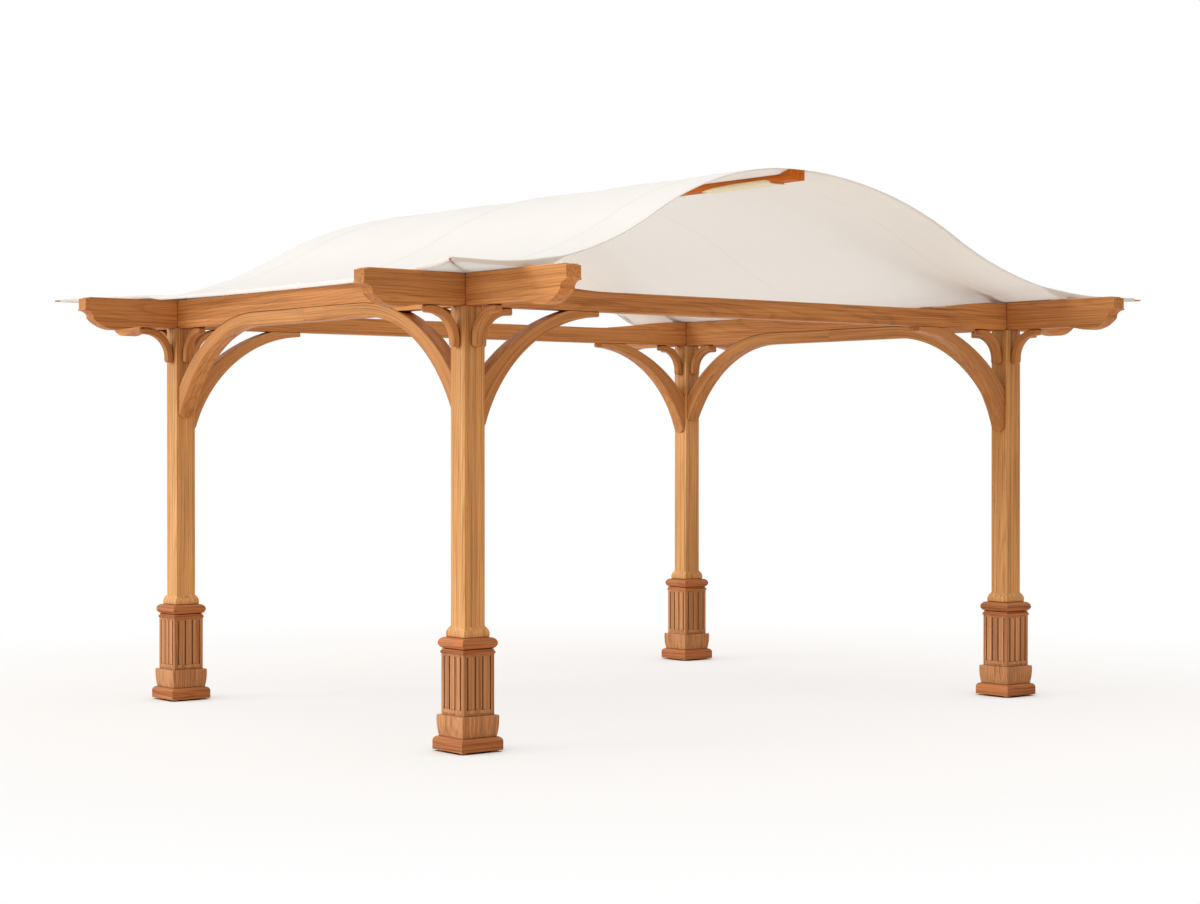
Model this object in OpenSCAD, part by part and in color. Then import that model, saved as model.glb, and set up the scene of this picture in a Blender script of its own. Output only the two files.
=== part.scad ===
// Garden gazebo: four posts on moulded pedestals, crossed beams with carved tails,
// arches and braces, and an ogee canopy over bent laths and a ridge beam.
// X runs along the gabled front, Y along the ridge, Z up from the ground.

/* [Frame] */
// Distance between post centres along the gabled front and back
span_x = 3917; // [3400:1:4400]
// Distance between post centres along the eaves
span_y = 2891; // [2600:1:3400]
// Height of the underside of the beams
head_h = 2166; // [2050:1:2400]
// Square section of a post shaft
post_w = 120; // [110:1:130]
// Square section of the post's core inside its pedestal
core_w = 100; // [80:1:106]
// Square section of the tenon on top of a post
tenon_w = 55; // [40:1:64]
// How far a tenon stands above the beams
tenon_proud = 18; // [5:1:19]

/* [Beams] */
// Depth of a beam
beam_d = 161; // [145:1:180]
// Thickness of a beam, a brace and an arch
beam_t = 90; // [76:1:100]
// How far the front and back beams run past the post centres
tail_x = 632; // [600:1:720]
// How far the left and right beams run past the post centres
tail_y = 842; // [700:1:950]
// Height of the upright nose at the end of a tail
nose_h = 76; // [60:1:90]
// Length of the low step on top of the nose
step_in = 28; // [18:1:40]
// Height of that step
step_h = 7; // [4:1:14]
// How far the bead at the foot of the nose stands out
bead_out = 5; // [2:1:9]
// Height of that bead
bead_h = 12; // [6:1:18]
// Depth of the cove under the nose
cove_in = 52; // [36:1:62]
// Height of that cove
cove_h = 34; // [24:1:40]
// Height of the plain neck under the cove
neck_h = 8; // [2:1:12]
// How far a tail's belly hangs below the beam
belly_h = 20; // [8:1:30]
// Distance of the belly from the end of the tail
belly_in = 200; // [150:1:230]
// Distance from the end of the tail where the underside is level again
tail_run = 355; // [300:1:370]

// Depth of the hollow along the top of the front and back beams
hollow_h = 60; // [40:1:72]
// Distance of the hollow's ends from the post centres
hollow_in = 60; // [54:1:120]
// Length of the hollow's eased ends
hollow_run = 790; // [500:1:900]

/* [Front and back braces] */
// Radius of a brace's lower edge
brace_r = 778; // [740:1:800]
// Distance of that curve's centre from the post centre
brace_in = 820; // [800:1:845]
// Thickness of wood left at the crown of that curve, under the beam
brace_tip_h = 27; // [18:1:36]
// Radius of a brace's upper edge
brace_back_r = 1063; // [1020:1:1100]
// Distance of the upper curve's centre from the post centre
brace_back_in = 880; // [860:1:900]
// Height of the upper curve's crown above the beam's underside
brace_back_rise = 40; // [30:1:60]
// Distance of a brace's tip from the post centre
brace_reach = 785; // [740:1:810]
// How far a brace's foot reaches below the beam
brace_foot = 598; // [560:1:612]

/* [Side arches] */
// Radius of an arch's lower edge
arch_r = 886; // [860:1:900]
// Distance of that curve's centre from the post centre
arch_in = 867; // [850:1:885]
// Depth of the arch below the beam at its crown
arch_crown_h = 17; // [10:1:26]
// Radius of an arch's upper edge
arch_back_r = 1102; // [1070:1:1130]
// Distance of the upper curve's centre from the post centre
arch_back_in = 905; // [890:1:925]
// How far the arch is let into the beam at its crown
arch_housing = 58; // [40:1:66]
// How far an arch's foot reaches below the beam
arch_foot = 520; // [480:1:530]

/* [Brackets] */
// Radius of a bracket's upper edge
bracket_r = 170; // [150:1:180]
// Width of a bracket's curved band
bracket_band = 38; // [28:1:44]
// Thickness of a bracket
bracket_t = 50; // [36:1:60]
// Length of a bracket's straight seat at each end
bracket_seat = 30; // [20:1:36]

/* [Pedestals] */
// Height of a foot glide
foot_h = 8; // [4:1:14]
// Diameter of a foot glide
foot_d = 36; // [24:1:46]
// Distance of a foot glide's centre from the post centre
foot_in = 88; // [70:1:98]
// Width of a plinth
plinth_w = 249; // [240:1:270]
// Height of a plinth
plinth_h = 66; // [54:1:84]
// Radius of the plinth's rounded shoulder
plinth_round = 23; // [10:1:26]
// Depth of the socket in a plinth that holds the post's core
socket_h = 40; // [20:1:48]
// Width of an apron at its top
apron_w = 219; // [212:1:232]
// How much wider an apron is at its top than at its foot
apron_flare = 16; // [6:1:24]
// Height of an apron
apron_h = 104; // [84:1:130]
// Radius of an apron's bowed side
apron_bow_r = 420; // [300:1:600]
// Width of a die
die_w = 185; // [170:1:196]
// Height of a die
die_h = 299; // [260:1:360]
// Width of a die's plain corner stiles
stile_w = 20; // [14:1:26]
// Height of a die's plain top and bottom rails
rail_h = 11; // [6:1:24]
// Number of slats in a die's panel
slats = 3; // [2:1:4]
// Width of the grooves beside the slats
groove_w = 9; // [5:1:12]
// Depth of the grooves beside the slats
groove_d = 6; // [3:1:9]
// Width of the cap's lip
lip_w = 194; // [186:1:204]
// Height of the cap's lip
lip_h = 13; // [8:1:18]
// Width of the neck between lip and roll
cap_neck_w = 184; // [176:1:190]
// Height of that neck
cap_neck_h = 10; // [6:1:16]
// Width of the cap over its roll
cap_w = 212; // [204:1:224]
// Radius of the cap's roll
roll_r = 28; // [20:1:32]
// Width of the post's bell foot
bell_w = 155; // [148:1:162]
// Radius of the bell foot's side
bell_r = 55; // [48:1:62]
// Height of the bell foot's widest place above the cap
bell_rise = 15; // [8:1:22]

/* [Roof] */
// Width of the ridge beam
ridge_w = 100; // [80:1:120]
// Depth of the ridge beam
ridge_d = 56; // [48:1:80]
// How far the ridge beam runs past the post centres
ridge_past = 269; // [255:1:330]
// Height of the top of the ridge beam above the top of the beams
ridge_rise = 625; // [560:1:700]
// Depth of a lath
lath_d = 20; // [20:1:28]
// Width of a lath
lath_w = 30; // [22:1:40]
// Number of laths on each side
laths = 5; // [3:2:7]
// How far the end laths stand past the post centres
lath_past = 160; // [120:1:180]
// Radius of the canopy's crown along the gable
crown_r = 2150; // [2000:1:2250]
// How far past the beam's outer face the canopy's curve is level
run_past = 205; // [150:1:240]
// Thickness of the canopy
canopy_t = 3; // [2:1:6]
// How far the canopy's points stand past the post centres along X
point_x = 491; // [440:1:540]
// How far the canopy's points stand past the post centres along Y
point_y = 554; // [500:1:620]
// How far the gable edge stands past the post centres at the ridge
gable_past = 245; // [200:1:252]
// How far the eave edge stands past the post centres at its middle
eave_past = 72; // [56:1:110]
// Diameter of a corner spar
spar_d = 18; // [12:1:19]
// How far a corner spar shows past the canopy's point
spar_show = 40; // [20:1:60]

/* [Hidden] */
// Clearance between pieces that are let into each other
fit = 0.3;
// Steps in a curved stretch of an outline
steps = 12;
// Steps in each half of the canopy's crown and in each eave curve
ogee_steps = 24;
$fn = 96;

half_x = span_x / 2;
half_y = span_y / 2;
beam_top = head_h + beam_d;
plinth_top = foot_h + plinth_h;
apron_top = plinth_top + apron_h;
die_top = apron_top + die_h;
roll_bottom = die_top + lip_h + cap_neck_h;
cap_top = roll_bottom + 2 * roll_r;
tenon_top = beam_top + tenon_proud;

ridge_top = beam_top + ridge_rise;
ridge_len = span_y + 2 * ridge_past;
eave_z = beam_top + lath_d + fit;
crown_z = ridge_top + fit;
run = half_x + beam_t / 2 + run_past;
rise = crown_z - eave_z;
radii = (run * run + rise * rise) / (2 * rise);
eave_r = radii - crown_r;
turn = asin(run / radii);
tip_x = half_x + point_x;
tip_y = half_y + point_y;

oak = [0.77, 0.53, 0.31];
dark_oak = [0.66, 0.40, 0.24];
canvas = [0.96, 0.94, 0.90];
pale = [0.88, 0.86, 0.80];

corners = [
    ["front_left", -1, -1],
    ["front_right", 1, -1],
    ["back_left", -1, 1],
    ["back_right", 1, 1],
];

// Points of an arc around a centre, from one angle to another
function arc(centre, r, from, to, n = steps) =
    [for (i = [0:n]) let (a = from + (to - from) * i / n) centre + r * [cos(a), sin(a)]];

// Radius of an arc that leaves a level line and climbs by h over a length l
function sweep_r(l, h) = (l * l + h * h) / (2 * h);

// Stands an outline drawn in X and Z upright, centred across its thickness
module upright(t) {
    rotate([90, 0, 0]) linear_extrude(t, center = true) children();
}

// A square moulding, mitred at its corners, from the outline of its right half
module square_moulding(outline) {
    both = concat(outline, [for (i = [len(outline) - 1:-1:0]) [-outline[i][0], outline[i][1]]]);
    reach = 2 * max([for (p = outline) p[0]]) + 2;
    intersection() {
        upright(reach) polygon(both);
        rotate(90) upright(reach) polygon(both);
    }
}

// The upright hole that a post's core passes through
module core_hole(bottom, height) {
    w = core_w + 2 * fit;
    translate([-w / 2, -w / 2, bottom]) cube([w, w, height]);
}

module feet() {
    color(pale)
        for (x = [-1, 1], y = [-1, 1])
            translate([x * foot_in, y * foot_in, 0]) cylinder(d = foot_d, h = foot_h);
}

module plinth() {
    half = plinth_w / 2;
    shoulder = [half - plinth_round, plinth_top - plinth_round];
    color(dark_oak) difference() {
        square_moulding(concat([[half, foot_h]], arc(shoulder, plinth_round, 0, 90)));
        core_hole(plinth_top - socket_h, socket_h + 1);
    }
}

module apron() {
    head = [apron_w / 2, apron_top];
    foot = [(apron_w - apron_flare) / 2, plinth_top];
    chord = norm(head - foot);
    middle = (head + foot) / 2;
    out = [head[1] - foot[1], foot[0] - head[0]] / chord;
    centre = middle - out * sqrt(apron_bow_r * apron_bow_r - chord * chord / 4);
    low = atan2(foot[1] - centre[1], foot[0] - centre[0]);
    high = atan2(head[1] - centre[1], head[0] - centre[0]);
    color(dark_oak) difference() {
        square_moulding(arc(centre, apron_bow_r, low, high));
        core_hole(plinth_top - 1, apron_h + 2);
    }
}

module die() {
    half = die_w / 2;
    pitch = (die_w - 2 * stile_w - groove_w) / slats;
    groove_h = die_h - 2 * rail_h;
    color(dark_oak) difference() {
        translate([-half, -half, apron_top]) cube([die_w, die_w, die_h]);
        core_hole(apron_top - 1, die_h + 2);
        for (side = [0:3], i = [0:slats])
            rotate(90 * side)
                translate([i * pitch + stile_w - half, -half - 1, apron_top + rail_h])
                    cube([groove_w, groove_d + 1, groove_h]);
    }
}

module cap() {
    lip = lip_w / 2;
    neck = cap_neck_w / 2;
    roll = [cap_w / 2 - roll_r, roll_bottom + roll_r];
    color(dark_oak) difference() {
        square_moulding(concat(
            [[lip, die_top], [lip, die_top + lip_h], [neck, die_top + lip_h], [neck, roll_bottom]],
            arc(roll, roll_r, -90, 90)
        ));
        core_hole(die_top - 1, cap_top - die_top + 2);
    }
}

module post() {
    widest = [bell_w / 2 - bell_r, cap_top + bell_rise];
    top_angle = acos((post_w / 2 - widest[0]) / bell_r);
    foot_angle = -asin(bell_rise / bell_r);
    core_bottom = plinth_top - socket_h;
    color(oak) union() {
        square_moulding(concat(
            arc(widest, bell_r, foot_angle, top_angle),
            [[post_w / 2, head_h]]
        ));
        translate([-core_w / 2, -core_w / 2, core_bottom])
            cube([core_w, core_w, cap_top - core_bottom + 1]);
        translate([-tenon_w / 2, -tenon_w / 2, head_h - 1])
            cube([tenon_w, tenon_w, tenon_top - head_h + 1]);
    }
}

// A bracket's outline beside the post: a quarter ring with a straight, round-ended seat at each end
module bracket_outline() {
    centre = [post_w / 2 + bracket_r, head_h - bracket_r];
    inner = bracket_r - bracket_band;
    end_r = bracket_band / 2;
    difference() {
        intersection() {
            translate(centre) circle(bracket_r);
            translate(centre - [bracket_r, 0]) square(bracket_r);
        }
        translate(centre) circle(inner);
    }
    translate(centre - [bracket_r, bracket_seat - end_r]) square([bracket_band, bracket_seat - end_r]);
    translate(centre - [bracket_r - end_r, bracket_seat - end_r]) circle(end_r);
    translate(centre + [0, inner]) square([bracket_seat - end_r, bracket_band]);
    translate(centre + [bracket_seat - end_r, inner + end_r]) circle(end_r);
}

module brackets() {
    color(oak)
        for (side = [0:3])
            rotate(90 * side) upright(bracket_t) bracket_outline();
}

// A tail's edge down to its level underside, as distance in from its end and height over that underside
function tail_edge() =
    let (
        nose = beam_d - nose_h,
        shoulder = nose - cove_h - neck_h,
        round_r = sweep_r(belly_in - cove_in, shoulder + belly_h),
        start = asin((belly_in - cove_in) / round_r)
    )
    concat(
        [
            [step_in, beam_d], [step_in, beam_d - step_h], [bead_out, beam_d - step_h],
            [bead_out, nose + bead_h], [0, nose + bead_h - bead_out],
        ],
        [for (i = [0:steps]) let (a = 90 * i / steps) [cove_in * sin(a), nose - cove_h * (1 - cos(a))]],
        arc([belly_in, round_r - belly_h], round_r, 270 - start, 270),
        [for (i = [1:steps]) [
            belly_in + (tail_run - belly_in) * i / steps,
            -belly_h * (1 + cos(180 * i / steps)) / 2,
        ]]
    );

// The hollow along the top of a beam, from its right end to its left
function hollow_edge(span) =
    let (
        far = span / 2 - hollow_in,
        ease = [for (i = [0:2 * steps]) [
            far - hollow_run * i / (2 * steps),
            beam_top - hollow_h * (1 - cos(90 * i / steps)) / 2,
        ]]
    )
    concat(ease, [for (i = [2 * steps:-1:0]) [-ease[i][0], ease[i][1]]]);

module beam_outline(length, top) {
    edge = tail_edge();
    left = [for (p = edge) [p[0] - length / 2, p[1] + head_h]];
    right = [for (i = [len(edge) - 1:-1:0]) [length / 2 - edge[i][0], edge[i][1] + head_h]];
    polygon(concat(left, right, top));
}

// A beam along X with its two mortises and half the depth cut away at each crossing
module beam(span, tail, cut_z, top = []) {
    lap = beam_t + 2 * fit;
    mortise = tenon_w + 2 * fit;
    difference() {
        upright(beam_t) beam_outline(span + 2 * tail, top);
        for (x = [-1, 1]) translate([x * span / 2, 0, 0]) {
            translate([-lap / 2, -lap / 2, cut_z]) cube([lap, lap, beam_d / 2]);
            translate([-mortise / 2, -mortise / 2, head_h - 1]) cube([mortise, mortise, beam_d + 2]);
        }
    }
}

module front_beam() {
    color(oak) beam(span_x, tail_x, head_h + beam_d / 2, hollow_edge(span_x));
}

module side_beam() {
    color(oak) difference() {
        rotate(90) beam(span_y, tail_y, head_h);
        for (end = [-1, 1])
            mirror([0, end > 0 ? 1 : 0, 0])
                translate([0, -half_y, 0]) rotate(90) upright(beam_t + 2)
                    intersection() {
                        arch_back(fit);
                        translate([post_w / 2, head_h - 1]) square([half_y - post_w / 2 + 1, beam_d]);
                    }
    }
}

module brace() {
    lower = [brace_in, head_h - brace_tip_h - brace_r];
    upper = [brace_back_in, head_h + brace_back_rise - brace_back_r];
    face = post_w / 2;
    color(oak) upright(beam_t) difference() {
        intersection() {
            translate(upper) circle(brace_back_r);
            translate([face, head_h - brace_foot]) square([brace_reach - face, brace_foot]);
        }
        translate(lower) circle(brace_r);
    }
}

// The space under an arch's upper edge, out to the middle of the side
module arch_back(grow) {
    crown = head_h + arch_housing;
    translate([arch_back_in, crown - arch_back_r]) circle(arch_back_r + grow);
    translate([arch_back_in, crown - arch_back_r]) square([half_y, arch_back_r + grow]);
}

// The space under an arch's lower edge, out to the middle of the side
module arch_opening() {
    crown = head_h - arch_crown_h;
    translate([arch_in, crown - arch_r]) circle(arch_r);
    translate([arch_in, crown - arch_r]) square([half_y, arch_r]);
}

module arch() {
    face = post_w / 2;
    low = head_h - arch_foot;
    color(oak) rotate(90) upright(beam_t) difference() {
        intersection() {
            arch_back(0);
            translate([face, low]) square([half_y - face - fit / 2, arch_foot + beam_d]);
        }
        arch_opening();
    }
}

// The canopy's ogee from one edge to the other, offset above its underside
function ogee(above, end) = concat(
    [[-end, eave_z + above]],
    arc([-run, eave_z + eave_r], eave_r - above, 270, 270 + turn, ogee_steps),
    arc([0, crown_z - crown_r], crown_r + above, 90 + turn, 90 - turn, 2 * ogee_steps),
    arc([run, eave_z + eave_r], eave_r - above, 270 - turn, 270, ogee_steps),
    [[end, eave_z + above]]
);

// A band that follows the ogee between two heights over the canopy's underside
module ogee_band(bottom, top, end) {
    under = ogee(bottom, end);
    over = ogee(top, end);
    polygon(concat(under, [for (i = [len(over) - 1:-1:0]) over[i]]));
}

// Stands a gable outline upright and runs it along the ridge
module along_ridge(length) {
    rotate([90, 0, 0]) linear_extrude(length, center = true) children();
}

module ridge_beam() {
    half = ridge_w / 2;
    edge = asin(half / crown_r);
    color(oak) along_ridge(ridge_len) polygon(concat(
        [[-half, ridge_top - ridge_d], [half, ridge_top - ridge_d]],
        arc([0, ridge_top - crown_r], crown_r, 90 - edge, 90 + edge, steps)
    ));
}

// The laths of the right side: bent strips from the ridge beam to the side beam
module side_laths() {
    face = half_x - beam_t / 2;
    last = half_y + lath_past;
    color(oak)
        for (i = [0:laths - 1])
            translate([0, last * (2 * i / (laths - 1) - 1), 0]) along_ridge(lath_w) {
                intersection() {
                    ogee_band(-lath_d - fit, -fit, tip_x);
                    translate([ridge_w / 2, head_h])
                        square([face + beam_t - ridge_w / 2, ridge_rise + beam_d]);
                }
                intersection() {
                    ogee_band(-3 * lath_d, -fit, tip_x);
                    translate([face, beam_top]) square([beam_t, ridge_rise]);
                }
            }
}

module corner_spars() {
    along = [point_x, point_y];
    length = norm(along) + spar_show;
    start = tenon_w / 2 * (point_x + point_y) / norm(along) + fit;
    color(oak)
        for (c = corners)
            translate([c[1] * half_x, c[2] * half_y, beam_top + spar_d / 2])
                rotate(atan2(c[2] * point_y, c[1] * point_x)) rotate([0, 90, 0])
                    translate([0, 0, start]) cylinder(d = spar_d, h = length - start);
}

// The canopy seen from above: four points, gables drawn in at the ridge and hollow eaves
module canopy_plan() {
    gable_mid = half_y + gable_past;
    eave_mid = half_x + eave_past;
    hollow_r = sweep_r(tip_y, tip_x - eave_mid);
    difference() {
        polygon([
            [tip_x, tip_y], [0, gable_mid], [-tip_x, tip_y],
            [-tip_x, -tip_y], [0, -gable_mid], [tip_x, -tip_y],
        ]);
        for (side = [-1, 1])
            translate([side * (eave_mid + hollow_r), 0]) circle(hollow_r);
    }
}

module canopy() {
    color(canvas) intersection() {
        along_ridge(2 * tip_y) ogee_band(0, canopy_t, tip_x);
        translate([0, 0, head_h]) linear_extrude(ridge_rise + beam_d + 50) canopy_plan();
    }
}

for (c = corners) translate([c[1] * half_x, c[2] * half_y, 0]) {
    feet();
    plinth();
    apron();
    die();
    cap();
    post();
    brackets();
}
translate([0, -half_y, 0]) front_beam();
translate([0, half_y, 0]) front_beam();  // back_beam
translate([-half_x, 0, 0]) side_beam();  // left_beam
translate([half_x, 0, 0]) side_beam();  // right_beam
translate([-half_x, -half_y, 0]) brace();  // front_left_brace
mirror([1, 0, 0]) translate([-half_x, -half_y, 0]) brace();  // front_right_brace
translate([-half_x, half_y, 0]) brace();  // back_left_brace
mirror([1, 0, 0]) translate([-half_x, half_y, 0]) brace();  // back_right_brace
translate([-half_x, -half_y, 0]) arch();  // left_front_arch
mirror([0, 1, 0]) translate([-half_x, -half_y, 0]) arch();  // left_back_arch
translate([half_x, -half_y, 0]) arch();  // right_front_arch
mirror([0, 1, 0]) translate([half_x, -half_y, 0]) arch();  // right_back_arch
ridge_beam();
mirror([1, 0, 0]) side_laths();  // left_laths
side_laths();  // right_laths
corner_spars();
canopy();
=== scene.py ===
from functools import partial
from math import acos, asin, copysign, cos, hypot, pi, radians, sin, sqrt
import bmesh
import bpy
import numpy as np
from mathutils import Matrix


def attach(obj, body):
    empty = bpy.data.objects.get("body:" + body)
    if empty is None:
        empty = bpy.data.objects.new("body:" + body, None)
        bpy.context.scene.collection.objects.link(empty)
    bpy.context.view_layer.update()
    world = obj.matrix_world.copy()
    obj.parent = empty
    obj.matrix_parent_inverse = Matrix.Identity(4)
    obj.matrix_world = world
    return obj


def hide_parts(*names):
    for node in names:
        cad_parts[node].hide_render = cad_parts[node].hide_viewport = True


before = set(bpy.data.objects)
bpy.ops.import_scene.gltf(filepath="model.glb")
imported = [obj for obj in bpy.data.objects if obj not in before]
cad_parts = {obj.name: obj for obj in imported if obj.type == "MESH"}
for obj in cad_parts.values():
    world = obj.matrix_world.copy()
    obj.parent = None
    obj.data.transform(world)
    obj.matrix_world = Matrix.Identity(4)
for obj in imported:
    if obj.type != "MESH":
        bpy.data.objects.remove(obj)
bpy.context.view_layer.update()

# metres; X along the gabled front, Y along the ridge
gazebo = {
    "halfX": 1.9585, "halfY": 1.4455, "headH": 2.166, "beamTop": 2.327,
    "postHalf": 0.060, "beamT": 0.090, "seed": 41,
}
halfX, halfY, headH, beamTop, postHalf, beamT, seed = gazebo.values()
corners = [("front_left", -1, -1), ("front_right", 1, -1), ("back_left", -1, 1), ("back_right", 1, 1)]
quarters = [i * pi / 2 for i in range(4)]
rng = np.random.default_rng(seed)
print("frame loaded:", len(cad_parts), "nodes")


def addNode(kind, props=None, tree=None, **wires):
    # i0, i1 and so on name a socket by its place, other words by its label; the first wire tells the tree
    tree = tree or next(v.id_data for v in wires.values() if isinstance(v, bpy.types.NodeSocket))
    made = tree.nodes.new(kind)
    for key, value in (props or {}).items():
        setattr(made, key, value)
    for key, value in wires.items():
        spot = int(key[1:]) if key[0] == "i" and key[1:].isdigit() else key.replace("_", " ")
        if isinstance(value, bpy.types.NodeSocket):
            tree.links.new(value, made.inputs[spot])
        else:
            made.inputs[spot].default_value = value
    return made


def shade(kind, props=None, tree=None, **wires):
    return addNode("ShaderNode" + kind, props, tree, **wires).outputs[0]


def geo(kind, props=None, tree=None, **wires):
    return addNode("GeometryNode" + kind, props, tree, **wires).outputs[0]


def calc(how, a, b=0.0, c=None, clamp=False):
    wires = {"i0": a, "i1": b} if c is None else {"i0": a, "i1": b, "i2": c}
    return shade("Math", {"operation": how, "use_clamp": clamp}, **wires)


plus, minus, times, timesPlus, over, raised = (
    partial(calc, how) for how in ("ADD", "SUBTRACT", "MULTIPLY", "MULTIPLY_ADD", "DIVIDE", "POWER"))


def vectorCalc(how, **wires):
    return addNode("ShaderNodeVectorMath", {"operation": how}, **wires).outputs


def joinXYZ(x=0.0, y=0.0, z=0.0):
    return shade("CombineXYZ", X=x, Y=y, Z=z)


def splitXYZ(value):
    return addNode("ShaderNodeSeparateXYZ", i0=value).outputs


def spread(value, low, high, toLow=0.0, toHigh=1.0):
    return shade("MapRange", {"interpolation_type": "SMOOTHSTEP"}, i0=value, i1=low, i2=high, i3=toLow, i4=toHigh)


def newMaterial(name):
    mat = bpy.data.materials.new(name)
    mat.use_nodes = True
    mat.node_tree.nodes.clear()
    return mat, mat.node_tree


def coated(mat, shader):
    tree = mat.node_tree
    tree.links.new(shader, tree.nodes.new("ShaderNodeOutputMaterial").inputs[0])
    return mat


def attribute(tree, name, output="Fac"):
    return addNode("ShaderNodeAttribute", {"attribute_name": name}, tree).outputs[output]


def objectPlace(tree):
    return addNode("ShaderNodeTexCoord", tree=tree).outputs["Object"]


def blendColour(how, amount, a, b):
    return addNode("ShaderNodeMix", {"data_type": "RGBA", "blend_type": how, "clamp_factor": True},
                   i0=amount, i6=a, i7=b).outputs[2]


def noise(where, scale, detail=3.0, rough=0.5, output="Fac"):
    made = addNode("ShaderNodeTexNoise", Vector=where, Scale=scale, Detail=detail, Roughness=rough)
    return made.outputs[output]


def stretchedNoise(where, scale, detail=3.0, rough=0.55, output="Fac"):
    moved = vectorCalc("MULTIPLY", i0=where, i1=scale)[0]
    return noise(moved, 1.0, detail, rough, output)


# oiled oak: the figure is cut from a solid log, so ends show rings and faces show long streaks
oakParts = ("pale", "deep", "pore", "ring", "gloss", "head")
oakLooks = {
    "oak_frame": ((0.960, 0.552, 0.224), (0.372, 0.150, 0.040), (0.250, 0.088, 0.024), 0.012, 0.28, (1.40, 2.15, 0.55)),
    "oak_brace": ((0.725, 0.362, 0.134), (0.315, 0.118, 0.034), (0.190, 0.062, 0.017), 0.012, 0.25),
    "oak_beam": ((0.745, 0.345, 0.120), (0.300, 0.106, 0.028), (0.170, 0.054, 0.014), 0.012, 0.25),
    "oak_panel": ((0.752, 0.376, 0.170), (0.208, 0.078, 0.029), (0.150, 0.045, 0.014), 0.010, 0.25),
    "oak_plinth": ((0.690, 0.266, 0.094), (0.125, 0.031, 0.008), (0.130, 0.034, 0.009), 0.010, 0.22),
    "oak_ridge": ((0.800, 0.240, 0.036), (0.460, 0.106, 0.012), (0.130, 0.030, 0.006), 0.010, 0.06),
}
# noise layers are (stretch, detail, roughness), cuts are the range of the noise that counts
oakFigure = {
    "logLong": 9, "logOff": 0.10, "seedShift": (3.7, 0.41, 0.29),
    "wander": ((1.1, 5.0, 5.0), 2.0, 0.5), "wanderBy": (0.0, 0.050, 0.050),
    "lean": 0.035, "ringUp": 0.32, "ringDown": 0.80,
    "streak": ((0.8, 70.0, 70.0), 4.0, 0.6), "streakCut": (0.36, 0.64),
    "line": ((1.6, 150.0, 150.0), 3.0, 0.6), "lineCut": (0.36, 0.50),
    "fibre": ((5.0, 360.0, 360.0), 2.0, 0.55), "drift": ((0.7, 4.0, 4.0), 2.0, 0.55),
    "pores": ((16.0, 820.0, 820.0), 1.0, 0.55), "poreCut": (0.60, 0.70),
    "ringShare": 0.18, "streakShare": 0.34, "lineShare": 0.30, "fibreShare": 0.18, "driftShare": 0.5,
    "poreMost": 0.85, "poreLate": 0.6, "poreShare": 0.55,
    "toneBase": 0.82, "toneGain": 0.36, "wearAndHighlightGain": 0.10, "warmth": (1.12, 1.25),
    "creaseReach": 0.016, "creaseCut": (0.20, 0.80), "creaseMost": 0.85,
    "fibreUp": 0.35, "ringLift": 0.25, "poreDeep": 0.6, "bump": 0.35, "bumpDepth": 0.0012,
    "rough": 0.62, "roughPale": 0.16,
}


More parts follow.
